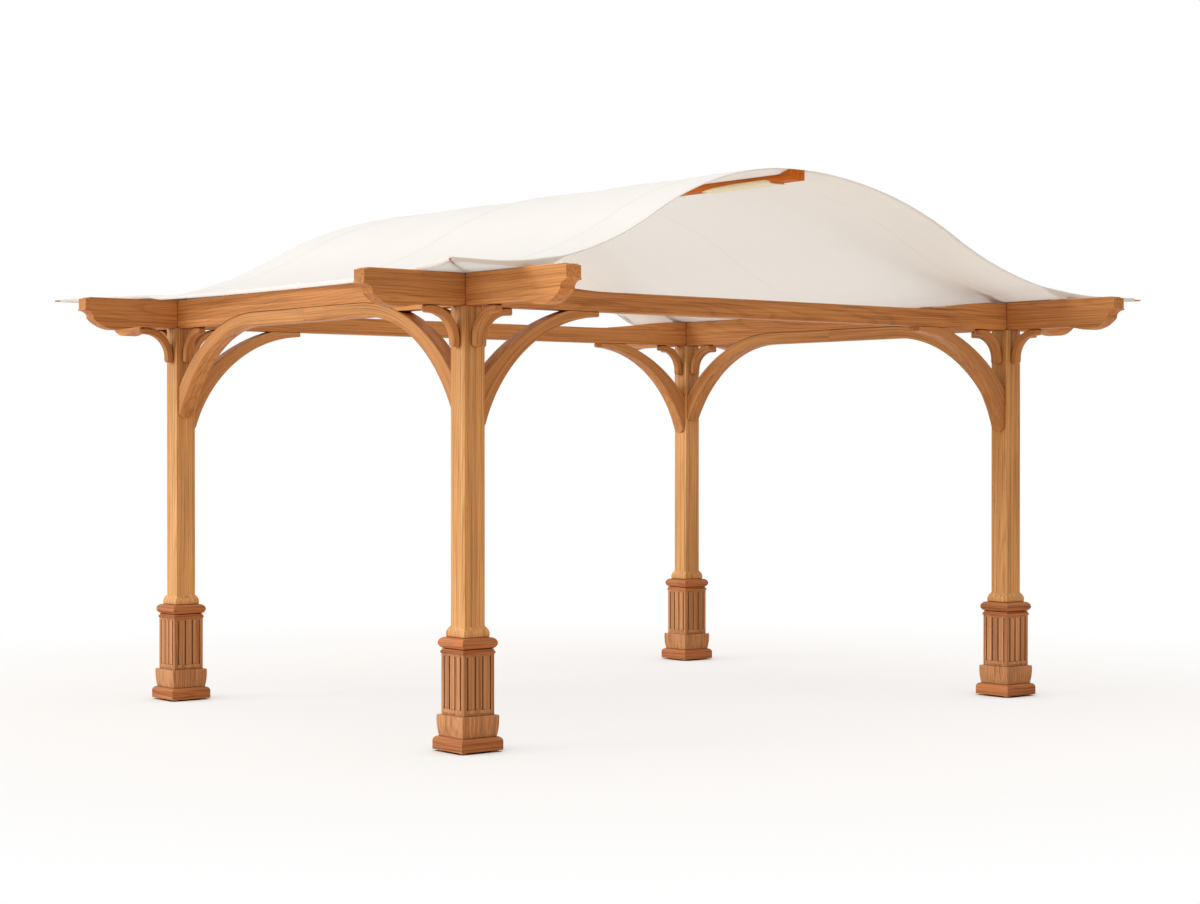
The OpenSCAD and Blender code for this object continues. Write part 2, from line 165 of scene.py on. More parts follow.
def makeOak(name, look):
    mat, tree = newMaterial(name)
    f = oakFigure
    seed, tone, wearAndHighlight = (attribute(tree, n) for n in ("seed", "tone", "arris"))
    if "head" in look:
        # painted shade: the wood is made darker towards the head of the frame, as if shaded by the beams
        low, high, drop = look["head"]
        tone = minus(tone, spread(splitXYZ(objectPlace(tree))[2], low, high, 0.0, drop))
    shift = joinXYZ(*[times(seed, by) for by in f["seedShift"]])
    log = vectorCalc("ADD", i0=attribute(tree, "grain", "Vector"), i1=shift)[0]
    # the log bends and its pith wanders, which opens the rings into arches on a flat face
    wander = stretchedNoise(log, *f["wander"], "Color")
    along, side, up = splitXYZ(vectorCalc("MULTIPLY_ADD", i0=wander, i1=f["wanderBy"], i2=log)[0])
    across = timesPlus(along, f["lean"], side)
    radius = calc("SQRT", plus(times(across, across), times(up, up)))
    turn = calc("FRACT", over(radius, look["ring"]))
    ring = times(spread(turn, 0.0, f["ringUp"]), spread(turn, f["ringDown"], 1.0, 1.0, 0.0))
    streak, line, pores = (spread(stretchedNoise(log, *f[n]), *f[cut])
                           for n, cut in (("streak", "streakCut"), ("line", "lineCut"), ("pores", "poreCut")))
    fibre, drift = (stretchedNoise(log, *f[n]) for n in ("fibre", "drift"))
    pale = times(ring, f["ringShare"])
    for layer, share in ((streak, "streakShare"), (line, "lineShare"), (fibre, "fibreShare")):
        pale = timesPlus(layer, f[share], pale)
    pale = plus(pale, times(minus(drift, 0.5), f["driftShare"]), clamp=True)
    colour = blendColour("MIX", pale, look["deep"] + (1,), look["pale"] + (1,))
    early = times(pores, minus(f["poreMost"], times(ring, f["poreLate"])))
    colour = blendColour("MIX", times(early, f["poreShare"]), colour, look["pore"] + (1,))
    value = timesPlus(tone, f["toneGain"], f["toneBase"])
    # partly painted highlight: bevelled arrises are made lighter, as worn edges that catch the light
    value = timesPlus(wearAndHighlight, f["wearAndHighlightGain"], value)
    green, blue = (raised(value, by) for by in f["warmth"])
    colour = blendColour("MULTIPLY", 1.0, colour, shade("CombineColor", Red=value, Green=green, Blue=blue))
    # painted shade: joints and grooves are darkened towards the pore colour where ambient occlusion finds them closed
    # in
    crease = addNode("ShaderNodeAmbientOcclusion", {"samples": 8}, tree, Distance=f["creaseReach"]).outputs["AO"]
    creaseShade = spread(crease, *f["creaseCut"], f["creaseMost"], 0.0)
    colour = blendColour("MIX", creaseShade, colour, look["pore"] + (1,))
    height = timesPlus(fibre, f["fibreUp"], times(ring, f["ringLift"]))
    height = minus(height, times(pores, f["poreDeep"]))
    bump = shade("Bump", Strength=f["bump"], Distance=f["bumpDepth"], Height=height)
    rough = minus(f["rough"], times(pale, f["roughPale"]))
    return coated(mat, shade("BsdfPrincipled", Base_Color=colour, Roughness=rough, Normal=bump,
                             Specular_IOR_Level=look["gloss"]))


oakFrame, oakBrace, oakBeam, oakPanel, oakPlinth, oakRidge = (
    makeOak(name, dict(zip(oakParts, look))) for name, look in oakLooks.items())

# woven canvas, plain weave, cream
canvasLook = {
    "cream": (0.965, 0.957, 0.943), "dusk": (0.905, 0.886, 0.856), "thread": 0.0016, "through": 0.18,
    "slubLong": 3.0, "slubFine": 240.0, "drift": (0.9, 1.3, 1.0), "slubTint": 0.16, "driftTint": 0.34,
    "tintLess": 0.12, "seamTint": 0.70, "weaveUp": 0.25, "bump": 0.25, "bumpDepth": 0.0010,
    "rough": 0.88, "gloss": 0.15, "sheen": 0.12,
}


def makeCanvas(name, look):
    mat, tree = newMaterial(name)
    flat = attribute(tree, "weave", "Vector")
    parts = splitXYZ(flat)
    turns = 2 * pi / look["thread"]
    warp, weft = (calc("SINE", times(parts[i], turns)) for i in (0, 1))
    slubs = plus(stretchedNoise(flat, (look["slubLong"], look["slubFine"], 1.0), 2.0),
                 stretchedNoise(flat, (look["slubFine"], look["slubLong"], 1.0), 2.0))
    drift = stretchedNoise(flat, look["drift"])
    tint = plus(times(slubs, look["slubTint"]), times(drift, look["driftTint"]))
    tint = timesPlus(attribute(tree, "seam"), look["seamTint"], minus(tint, look["tintLess"]), clamp=True)
    colour = blendColour("MIX", tint, look["cream"] + (1,), look["dusk"] + (1,))
    height = timesPlus(times(warp, weft), look["weaveUp"], slubs)
    bump = shade("Bump", Strength=look["bump"], Distance=look["bumpDepth"], Height=height)
    cloth = shade("BsdfPrincipled", Base_Color=colour, Roughness=look["rough"], Normal=bump,
                  Specular_IOR_Level=look["gloss"], Sheen_Weight=look["sheen"])
    glow = shade("BsdfTranslucent", Color=colour)
    return coated(mat, shade("MixShader", i0=look["through"], i1=cloth, i2=glow))


canvas = makeCanvas("canvas_cream", canvasLook)
canvasThin = makeCanvas("canvas_point", {**canvasLook, "through": 0.80})
# painted light: the pockets' cream is turned yellow, as light shining through two layers of cloth
canvasWarm = makeCanvas("canvas_pocket", {**canvasLook, "cream": (0.985, 0.880, 0.580)})


# thread and moulded plastic: two tones of one fine noise
speckled = {
    "thread_cream": {"pale": (0.74, 0.68, 0.58), "dull": (0.6364, 0.5848, 0.4988), "scale": 900.0, "detail": 1.0,
                     "rough": 0.7, "bump": 0.0, "bumpDepth": 0.0},
    "glide_plastic": {"pale": (0.80, 0.78, 0.72), "dull": (0.66, 0.63, 0.56), "scale": 160.0, "detail": 3.0,
                      "rough": 0.45, "bump": 0.15, "bumpDepth": 0.0004},
}


def makeSpeckled(name, look):
    mat, tree = newMaterial(name)
    cloud = noise(objectPlace(tree), look["scale"], look["detail"])
    colour = blendColour("MIX", cloud, look["pale"] + (1,), look["dull"] + (1,))
    bump = shade("Bump", Strength=look["bump"], Distance=look["bumpDepth"], Height=cloud)
    return coated(mat, shade("BsdfPrincipled", Base_Color=colour, Roughness=look["rough"], Normal=bump))


threadCream, glidePlastic = (makeSpeckled(n, l) for n, l in speckled.items())
print("materials ready")


def linked(name, data):
    holder = bpy.data.objects.new(name, data)
    bpy.context.scene.collection.objects.link(holder)
    return holder


def meshOf(name, verts, faces, edges=()):
    mesh = bpy.data.meshes.new(name)
    mesh.from_pydata([tuple(v) for v in verts], list(edges), faces)
    return mesh


def keep(mesh, name, values, domain="CORNER"):
    values = np.asarray(values, np.float32)
    kind, field = ("FLOAT_VECTOR", "vector") if values.ndim > 1 else ("FLOAT", "value")
    mesh.attributes.new(name, kind, domain).data.foreach_set(field, values.ravel())


def cornerVertices(mesh):
    index = np.empty(len(mesh.loops), np.int32)
    mesh.loops.foreach_get("vertex_index", index)
    return index


def cornerPlaces(mesh):
    spots = np.empty(len(mesh.vertices) * 3, np.float32)
    mesh.vertices.foreach_get("co", spots)
    return spots.reshape(-1, 3)[cornerVertices(mesh)]


def cornerCentres(mesh):
    middles = np.empty(len(mesh.polygons) * 3, np.float32)
    mesh.polygons.foreach_get("center", middles)
    totals = np.empty(len(mesh.polygons), np.int32)
    mesh.polygons.foreach_get("loop_total", totals)
    return np.repeat(middles.reshape(-1, 3), totals, axis=0)


def smooth(mesh, angle):
    mesh.shade_smooth()
    mesh.set_sharp_from_angle(angle=radians(angle))


def turnOutwards(mesh):
    bm = bmesh.new()
    bm.from_mesh(mesh)
    bmesh.ops.recalc_face_normals(bm, faces=bm.faces)
    bm.to_mesh(mesh)
    bm.free()


def ringFaces(first, rings, sides):
    # quads between rings of points that start at one index, and a cap on each end
    faces = [(first + i * sides + k, first + i * sides + (k + 1) % sides,
              first + (i + 1) * sides + (k + 1) % sides, first + (i + 1) * sides + k)
             for i in range(rings - 1) for k in range(sides)]
    last = first + (rings - 1) * sides
    return faces + [tuple(range(first + sides - 1, first - 1, -1)), tuple(range(last, last + sides))]


def place(mesh, name, mat, slotName, *nodes, weighted=True):
    piece = linked(name, mesh)
    mesh.materials.clear()
    mesh.materials.append(mat)
    if weighted:
        even = piece.modifiers.new("even_normals", "WEIGHTED_NORMAL")
        even.keep_sharp = True
        even.weight = 80
    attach(piece, "root")
    if nodes:
        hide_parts(*nodes)
    return piece


# CAD pieces are copied with softened arrises
softening = {"merge": 3e-5, "flat": 0.3, "sharp": 35, "smooth": 38}


def softenedCopy(node, name, arris, rounds=3):
    bm = bmesh.new()
    bm.from_mesh(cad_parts[node].data)
    bmesh.ops.remove_doubles(bm, verts=bm.verts, dist=softening["merge"])
    bmesh.ops.dissolve_limit(bm, angle_limit=radians(softening["flat"]), verts=bm.verts, edges=bm.edges)
    # bevel faces are marked so their arrises are made lighter, partly wear and partly painted highlight
    wearAndHighlight = bm.faces.layers.float.new("arris")
    least = radians(softening["sharp"])
    sharp = [e for e in bm.edges if len(e.link_faces) == 2 and e.is_convex and e.calc_face_angle() > least]
    made = bmesh.ops.bevel(bm, geom=sharp, offset=arris, offset_type="OFFSET", segments=rounds, profile=0.5,
                           affect="EDGES", clamp_overlap=True)
    for face in made["faces"]:
        face[wearAndHighlight] = 1.0
    mesh = bpy.data.meshes.new(name)
    bm.to_mesh(mesh)
    bm.free()
    smooth(mesh, softening["smooth"])
    return mesh


def randomShift():
    # where in the log a piece was cut
    long, off = oakFigure["logLong"], oakFigure["logOff"]
    return np.array([rng.uniform(0, long), rng.uniform(-off, off), rng.uniform(-off, off)])


def straightGrain(mesh, axis, tone):
    spots = cornerPlaces(mesh)
    spots = spots - (spots.max(0) + spots.min(0)) / 2
    order = {"x": [0, 1, 2], "y": [1, 0, 2], "z": [2, 0, 1]}[axis]
    keep(mesh, "grain", spots[:, order] + randomShift())
    keep(mesh, "tone", np.full(len(spots), tone))


def mitredGrain(mesh, tone, spreadTone):
    spots = cornerPlaces(mesh)
    middle = (spots.max(0) + spots.min(0)) / 2
    spots = spots - middle
    centres = cornerCentres(mesh) - middle
    sideways = np.abs(centres[:, 0]) > np.abs(centres[:, 1])
    side = np.where(sideways, np.where(centres[:, 0] > 0, 1, 3), np.where(centres[:, 1] > 0, 2, 0))
    grain = np.where(sideways[:, None], spots[:, [1, 0, 2]], spots[:, [0, 1, 2]])
    shifts = np.array([randomShift() for _ in range(4)])
    tones = tone + rng.uniform(-spreadTone, spreadTone, 4)
    keep(mesh, "grain", grain + shifts[side])
    keep(mesh, "tone", tones[side])


# posts: straight grain up the shaft; shade is painted shade that makes single sticks paler or deeper, the two
# right-hand posts deeper as if in shadow
posts = {"arris": 0.0035, "tone": (0.50, 0.62),
         "shade": {"front_left": 0.0, "front_right": -0.18, "back_left": 0.04, "back_right": -0.16}}
for corner, sx, sy in corners:
    mesh = softenedCopy(corner + "_post", corner + "_shaft", posts["arris"])
    straightGrain(mesh, "z", rng.uniform(*posts["tone"]) + posts["shade"][corner])
    place(mesh, corner + "_shaft", oakFrame, "frame_wood", corner + "_post")
print("posts dressed")

# pedestals: mitred mouldings run their grain round, dies and aprons stand theirs upright
pedestals = {"arris": {"plinth": 0.0022, "apron": 0.0015, "die": 0.0022, "cap": 0.0022},
             "mouldTone": 0.54, "mouldSpread": 0.16, "panelTone": 0.48, "panelSpread": 0.1}
for corner, sx, sy in corners:
    for piece, arris in pedestals["arris"].items():
        name = corner + "_" + piece
        mesh = softenedCopy(name, name + "_wood", arris, 2)
        moulded = piece in ("plinth", "cap")
        if moulded:
            mitredGrain(mesh, pedestals["mouldTone"], pedestals["mouldSpread"])
        else:
            vary = pedestals["panelSpread"]
            straightGrain(mesh, "z", pedestals["panelTone"] + rng.uniform(-vary, vary))
        place(mesh, name + "_wood", oakPlinth if moulded else oakPanel, "pedestal_wood", name)
print("pedestals dressed")

# crossed beams with carved tails, and the ridge beam; shade is painted shade that makes the front beam and the right
# beam deeper
beams = {"arris": 0.0045, "tone": {"x": (0.34, 0.44), "y": (0.56, 0.66)}, "ridgeArris": 0.003, "ridgeTone": 0.5,
         "shade": {"front_beam": -0.08, "back_beam": 0.0, "left_beam": 0.0, "right_beam": -0.30}}
for node, axis in (("front_beam", "x"), ("back_beam", "x"), ("left_beam", "y"), ("right_beam", "y")):
    mesh = softenedCopy(node, node + "_wood", beams["arris"])
    straightGrain(mesh, axis, rng.uniform(*beams["tone"][axis]) + beams["shade"][node])
    place(mesh, node + "_wood", oakBeam, "frame_wood", node)
mesh = softenedCopy("ridge_beam", "ridge_wood", beams["ridgeArris"])
straightGrain(mesh, "y", beams["ridgeTone"])
place(mesh, "ridge_wood", oakRidge, "frame_wood", "ridge_beam")


def bandPiece(name, node, bar, toWorld, tone, mat):
    verts, faces, grain = bar
    mesh = meshOf(name, map(toWorld, verts), faces)
    turnOutwards(mesh)
    smooth(mesh, 45)
    index = cornerVertices(mesh)
    keep(mesh, "grain", grain[index] + randomShift())
    keep(mesh, "tone", np.full(len(index), tone))
    return place(mesh, name, mat, "frame_wood", node)


# corner rods, turned down to a slim tip where they show past the canopy's points
spar = {"r": 0.009, "tipR": 0.0042, "taper": 0.20, "taperPower": 1.4, "start": 0.0390, "pointX": 0.491,
        "pointY": 0.554, "show": 0.040, "sides": 20, "steps": 12, "nose": (0.004, 0.0015), "noseR": (0.8, 0.35),
        "stagger": 0.03, "tone": 0.5}


def sparRods():
    length = hypot(spar["pointX"], spar["pointY"])
    end = length + spar["show"]
    taper = np.linspace(end - spar["taper"], end - spar["nose"][0], spar["steps"])
    runs = np.concatenate([[spar["start"]], taper, [end - spar["nose"][1], end]])
    near = np.clip((runs - end + spar["taper"]) / spar["taper"], 0, 1)
    radii = spar["r"] + (spar["tipR"] - spar["r"]) * near ** spar["taperPower"]
    radii[-2:] = spar["tipR"] * np.array(spar["noseR"])
    verts, grain, faces = [], [], []
    for corner, sx, sy in corners:
        along = np.array([sx * spar["pointX"], sy * spar["pointY"], 0]) / length
        side = np.array([-along[1], along[0], 0])
        foot = np.array([sx * halfX, sy * halfY, beamTop + spar["r"]])
        faces += ringFaces(len(verts), len(runs), spar["sides"])
        for run, r in zip(runs, radii):
            for turn in np.arange(spar["sides"]) * 2 * pi / spar["sides"]:
                out, up = r * cos(turn), r * sin(turn)
                verts.append(tuple(foot + along * run + side * out + np.array([0, 0, up])))
                grain.append((run + sx, out, up + spar["stagger"] * sy))
    return verts, faces, np.array(grain)


bandPiece("spar_rods", "corner_spars", sparRods(), lambda v: v, spar["tone"], oakBeam)
print("beams dressed")

# curved bars: rounded arrises, and a foot rounded to a tongue
band = {"roundSteps": 4, "flankSteps": 9, "softMost": 0.42, "flankLeast": 0.004, "flankClear": 0.002,
        "upright": 0.2}


def bowCurve(centre, r, start, turn, count, end, levels):
    # an arc, and a level run from its last point
    angles = np.linspace(start, turn, count)
    arc = np.stack([centre[0] + r * np.cos(angles), centre[1] + r * np.sin(angles)], -1)
    return np.concatenate([arc, np.linspace(arc[-1], (end, arc[-1][1]), levels + 1)[1:]])


def bentBand(lower, upper, thick, soft, tongue):
    # a closed bar between two curves in (u, z)
    turns = np.linspace(0, pi / 2, band["roundSteps"] + 1)
    footZ = lower[0][1]

    def narrow(z):
        inside = np.clip(tongue - (z - footZ), 0, tongue)
        return 1 - (tongue - sqrt(tongue ** 2 - inside ** 2)) / (thick / 2)

    verts, grain = [], []
    middle = (lower + upper) / 2
    along = np.concatenate([[0], np.cumsum(np.linalg.norm(np.diff(middle, axis=0), axis=1))])
    for low, high, run in zip(lower, upper, along):
        depth = np.linalg.norm(high - low)
        up = (high - low) / depth
        r = min(soft, depth * band["softMost"])
        edge, flank = thick / 2 - r, thick / 2
        # points gather up each flank to the height where the tongue ends
        reach = (footZ + tongue - low[1]) / up[1] if up[1] > band["upright"] else 0
        least = depth / 2 if reach < r else r + band["flankLeast"]
        rises = np.linspace(r, np.clip(reach, least, depth - r - band["flankClear"]), band["flankSteps"] + 1)[1:]

        def roundOff(cs, ct, start):
            return [(cs + r * sin(start + a), ct + r * cos(start + a)) for a in turns]

        loop = roundOff(r, edge, -pi / 2) + [(v, flank) for v in rises] + roundOff(depth - r, edge, 0)
        loop += roundOff(depth - r, -edge, pi / 2) + [(v, -flank) for v in rises[::-1]]
        loop += roundOff(r, -edge, pi)
        for s, t in loop:
            point = low + up * s
            verts.append((point[0], t * narrow(point[1]), point[1]))
            grain.append((run, s - depth / 2, t))
    return np.array(verts), ringFaces(0, len(lower), len(loop)), np.array(grain)


def bowBar(bow, end, thick):
    # the lower arc runs on level past its top, the upper one stops level a little over the beam's underside
    lowC = (bow["in"], headH - bow["drop"] - bow["r"])
    highC = (bow["backIn"], headH + bow["backRise"] - bow["backR"])
    footZ = headH - bow["foot"]
    start = pi - asin((footZ - lowC[1]) / bow["r"])
    turn = acos(min((end - bow["in"]) / bow["r"], 0.0))
    arc = bowCurve(lowC, bow["r"], start, turn, bow["arcSteps"], end, bow["levelSteps"] * (end > bow["in"]))
    lower = np.concatenate([[(postHalf, footZ)], arc])
    start = pi - acos((highC[0] - postHalf) / bow["backR"])
    turn = pi - asin(min((headH + bow["letIn"] - highC[1]) / bow["backR"], 1.0))
    upper = bowCurve(highC, bow["backR"], start, turn, len(lower) - bow["levelSteps"], end, bow["levelSteps"])
    return bentBand(lower, upper, thick, bow["soft"], bow["tongue"])


# braces of the long sides: the upper arc is cut off level under the beam; shade is painted shade that makes the
# right-hand braces deeper
brace = {"r": 0.778, "in": 0.820, "drop": 0.027, "backR": 1.063, "backIn": 0.880, "backRise": 0.040, "letIn": 0.0,
         "reach": 0.785, "foot": 0.598, "soft": 0.009, "tongue": 0.030, "tone": (0.46, 0.60), "shade": 0.16,
         "arcSteps": 52, "levelSteps": 14}
bar = bowBar(brace, brace["reach"], beamT)
for corner, sx, sy in corners:
    spot = (sx * halfX, sy * halfY)
    bandPiece(corner + "_bow", corner + "_brace", bar,
              lambda v, s=spot, m=sx: (s[0] - m * v[0], s[1] + v[1], v[2]),
              rng.uniform(*brace["tone"]) - brace["shade"] * (sx > 0), oakBrace)

# arches of the short sides: let into the beam above, two halves meeting in the middle; shade is painted shade that
# makes the right-hand arches deeper
arch = {"r": 0.886, "in": 0.867, "drop": 0.017, "backR": 1.102, "backIn": 0.905, "backRise": 0.058, "letIn": 0.058,
        "foot": 0.520, "soft": 0.011, "tongue": 0.030, "tone": (0.58, 0.72), "shade": 0.24,
        "wider": 0.004, "meet": 0.00015, "arcSteps": 52, "levelSteps": 16}
bar = bowBar(arch, halfY - arch["meet"], beamT + arch["wider"])
for side, sx in (("left", -1), ("right", 1)):
    for end, sy in (("front", -1), ("back", 1)):
        spot = (sx * halfX, sy * halfY)
        name = side + "_" + end
        bandPiece(name + "_bow", name + "_arch", bar,
                  lambda v, s=spot, m=sy: (s[0] + v[1], s[1] - m * v[0], v[2]),
                  rng.uniform(*arch["tone"]) - arch["shade"] * (sx > 0), oakBrace)
print("arches and braces made")


def newTree(name, inputs):
    # values with a capital are inputs of the tree
    tree = bpy.data.node_groups.new(name, "GeometryNodeTree")
    tree.interface.new_socket(name="Places", in_out="INPUT", socket_type="NodeSocketGeometry")
    for label in inputs:
        if label[0].isupper():
            kind = "NodeSocketMaterial" if label == "Material" else "NodeSocketFloat"
            tree.interface.new_socket(name=label, in_out="INPUT", socket_type=kind)
    tree.interface.new_socket(name="Geometry", in_out="OUTPUT", socket_type="NodeSocketGeometry")
    return tree, tree.nodes.new("NodeGroupInput").outputs


def closeTree(given, shape, places=None, facing=None):
    # repeats the shape on every place, and ends in plain geometry with its material
    tree = shape.id_data
    if facing is None:
        facing = joinXYZ(z=geo("InputNamedAttribute", {"data_type": "FLOAT"}, tree, Name="turn"))
    many = geo("InstanceOnPoints", Points=places or given["Places"], Instance=shape, Rotation=facing)
    real = geo("RealizeInstances", Geometry=many)
    painted = geo("SetMaterial", Geometry=real, Material=given["Material"])
    tree.links.new(painted, tree.nodes.new("NodeGroupOutput").inputs[0])
    return tree


def stored(shape, name, value, kind):
    return geo("StoreNamedAttribute", {"data_type": kind, "domain": "POINT"},
               Geometry=shape, Name=name, Value=value)


def sweptGrain(path, profile, scale=1.0):
    # sweeps a profile along a path and keeps the run along the path as the grain
    tree = path.id_data
    path = stored(path, "run", addNode("GeometryNodeSplineParameter", tree=tree).outputs["Length"], "FLOAT")
    profile = stored(profile, "section", geo("InputPosition", tree=tree), "FLOAT_VECTOR")
    solid = geo("CurveToMesh", Curve=path, Profile_Curve=profile, Scale=scale, Fill_Caps=True)
    run = geo("InputNamedAttribute", {"data_type": "FLOAT"}, tree, Name="run")
    parts = splitXYZ(geo("InputNamedAttribute", {"data_type": "FLOAT_VECTOR"}, tree, Name="section"))
    return stored(solid, "grain", joinXYZ(run, *parts[:2]), "FLOAT_VECTOR")


def roundedBox(given):
    plain = geo("CurvePrimitiveQuadrilateral", Width=given["Width"], Height=given["Depth"])
    return geo("FilletCurve", {"mode": "POLY"}, Curve=plain, Count=4, Radius=given["Soft"], Limit_Radius=True)


def uprightPath(height, count):
    path = geo("CurvePrimitiveLine", Start=(0, 0, 0), End=joinXYZ(z=height))
    return geo("ResampleCurve", Curve=path, Count=count)


def bulletEnds(nose, least):
    # 1 along the middle of a path, rounding down to least at both ends
    tree = nose.id_data
    run = addNode("GeometryNodeSplineParameter", tree=tree).outputs["Length"]
    toEnd = minus(geo("SplineLength", tree=tree), run)
    near = over(calc("MINIMUM", run, toEnd), nose, clamp=True)
    far = minus(1.0, near)
    bow = calc("SQRT", minus(1.0, times(far, far)))
    return timesPlus(bow, 1.0 - least, least)


def growPiece(tree, values, name, places, slotName, *nodes, edges=(), angle=45, weighted=True):
    spots, turns, tones = places
    mesh = meshOf(name + "_places", spots, [], edges)
    for label, kept in (("turn", turns), ("seed", rng.uniform(0, oakFigure["logLong"], len(spots))), ("tone", tones)):
        keep(mesh, label, kept, "POINT")
    holder = linked(name + "_holder", mesh)
    grower = holder.modifiers.new("grow", "NODES")
    grower.node_group = tree
    for item in tree.interface.items_tree:
        if item.item_type == "SOCKET" and item.in_out == "INPUT" and item.name in values:
            grower[item.identifier] = values[item.name]
    depsgraph = bpy.context.evaluated_depsgraph_get()
    made = bpy.data.meshes.new_from_object(holder.evaluated_get(depsgraph), preserve_all_data_layers=True,
                                           depsgraph=depsgraph)
    holder.modifiers.remove(grower)
    bpy.data.objects.remove(holder)
    made.name = name
    smooth(made, angle)
    return place(made, name, values["Material"], slotName, *nodes, weighted=weighted)


def roundPosts(us, v, z):
    # places on the four sides of every post, at each side's own (u, v)
    spots, turns = [], []
    for corner, sx, sy in corners:
        for angle in quarters:
            for u in us:
                spots.append((sx * halfX + u * cos(angle) - v * sin(angle),
                              sy * halfY + u * sin(angle) + v * cos(angle), z))
                turns.append(angle)
    return spots, turns


# small quarter-ring brackets round the head of each post
bracket = {"Reach": 0.200, "Width": 0.038, "Depth": 0.050, "Bend": 0.151, "Soft": 0.008, "Nose": 0.018,
           "Material": oakBrace, "least": 0.45, "steps": 56, "tone": (0.42, 0.62)}


def bracketTree():
    tree, given = newTree("bracket_ring", bracket)
    half = times(given["Width"], 0.5)
    drop = times(half, -1.0)
    low = joinXYZ(half, z=times(given["Reach"], -1.0))
    bend = joinXYZ(half, z=drop)
    far = joinXYZ(given["Reach"], z=drop)
    line = geo("MeshLine", {"mode": "OFFSET"}, tree, Count=3)
    which = geo("InputIndex", tree=tree)
    first, last = (addNode("FunctionNodeCompare", {"data_type": "INT", "operation": "EQUAL"},
                           i2=which, i3=i).outputs[0] for i in (0, 2))
    spot = geo("Switch", {"input_type": "VECTOR"}, Switch=first, i1=bend, i2=low)
    spot = geo("Switch", {"input_type": "VECTOR"}, Switch=last, i1=spot, i2=far)
    path = geo("MeshToCurve", Mesh=geo("SetPosition", Geometry=line, Position=spot))
    path = geo("FilletCurve", {"mode": "POLY"}, Curve=path, Count=16, Radius=given["Bend"])
    path = geo("ResampleCurve", Curve=path, Count=bracket["steps"])
    nose = bulletEnds(given["Nose"], bracket["least"])
    return closeTree(given, sweptGrain(path, roundedBox(given), nose))


spots, turns = roundPosts([postHalf], 0.0, headH)
tones = [rng.uniform(*bracket["tone"]) for _ in spots]
growPiece(bracketTree(), bracket, "post_brackets", (spots, turns, tones), "frame_wood",
          *[c[0] + "_brackets" for c in corners])

# slats and rails set on the faces of the dies
slat = {"Width": 0.0367, "Depth": 0.006, "Height": 0.2566, "Soft": 0.0022, "Material": oakPanel,
        "lift": 0.0222, "tones": [0.22, 0.45, 0.62, 0.84]}
rail = {"Width": 0.1450, "Depth": 0.006, "Height": 0.0170, "Soft": 0.0020, "Material": oakPanel,
        "lift": 0.0012, "tones": [0.55, 0.70]}
die = {"half": 0.0925, "stile": 0.020, "pitch": 0.04533, "groove": 0.009, "bottom": 0.189, "proud": 0.0012,
       "toneVary": 0.08}


def uprightTree(name, values):
    given = newTree(name, values)[1]
    return closeTree(given, sweptGrain(uprightPath(given["Height"], 24), roundedBox(given)))


def onDieFaces(us, strip):
    spots, turns = roundPosts(us, -die["half"] + strip["Depth"] / 2 - die["proud"], die["bottom"] + strip["lift"])
    vary = die["toneVary"]
    return spots, turns, [rng.choice(strip["tones"]) + rng.uniform(-vary, vary) for _ in spots]


slatUs = [die["stile"] + die["groove"] + i * die["pitch"] + slat["Width"] / 2 - die["half"] for i in range(3)]
for name, strip, us in (("die_slat", slat, slatUs), ("die_rail", rail, [0.0])):
    growPiece(uprightTree(name, strip), strip, name + "s", onDieFaces(us, strip), "pedestal_wood")

# turned glides under the plinths
glide = {"Radius": 0.018, "Height": 0.008, "Nose": 0.0025, "Material": glidePlastic, "inset": 0.088, "least": 0.86}


def glideTree():
    given = newTree("foot_glide", glide)[1]
    profile = geo("CurvePrimitiveCircle", Resolution=36, Radius=given["Radius"])
    nose = bulletEnds(given["Nose"], glide["least"])
    return closeTree(given, sweptGrain(uprightPath(given["Height"], 14), profile, nose))


spots = [(sx * halfX + i * glide["inset"], sy * halfY + j * glide["inset"], 0.0)
         for corner, sx, sy in corners for i in (-1, 1) for j in (-1, 1)]
plain = np.zeros(len(spots))
growPiece(glideTree(), glide, "foot_glides", (spots, plain, plain), "glide", *[c[0] + "_feet" for c in corners])
print("brackets, slats and glides grown")

# the canopy's ogee section: an arc over the crown, tangent to one that sweeps out to the eave
ogee = {"crownR": 2.150, "crownZ": 2.9523, "eaveZ": 2.3473, "run": 2.2085}
ogee["rise"] = ogee["crownZ"] - ogee["eaveZ"]
ogee["radii"] = (ogee["run"] ** 2 + ogee["rise"] ** 2) / (2 * ogee["rise"])
ogee["eaveR"] = ogee["radii"] - ogee["crownR"]
ogee["join"] = ogee["crownR"] * ogee["run"] / ogee["radii"]


def ogeeLegs(x):
    x = np.abs(x)
    crown = np.sqrt(ogee["crownR"] ** 2 - np.minimum(x, ogee["join"]) ** 2)
    eave = np.sqrt(ogee["eaveR"] ** 2 - np.clip(ogee["run"] - x, 0, ogee["eaveR"]) ** 2)
    return x < ogee["join"], crown, eave


def ogeeZ(x):
    inside, crown, eave = ogeeLegs(x)
    return np.where(inside, ogee["crownZ"] - ogee["crownR"] + crown, ogee["eaveZ"] + ogee["eaveR"] - eave)


def ogeeCos(x):
    inside, crown, eave = ogeeLegs(x)
    return np.where(inside, crown / ogee["crownR"], eave / ogee["eaveR"])


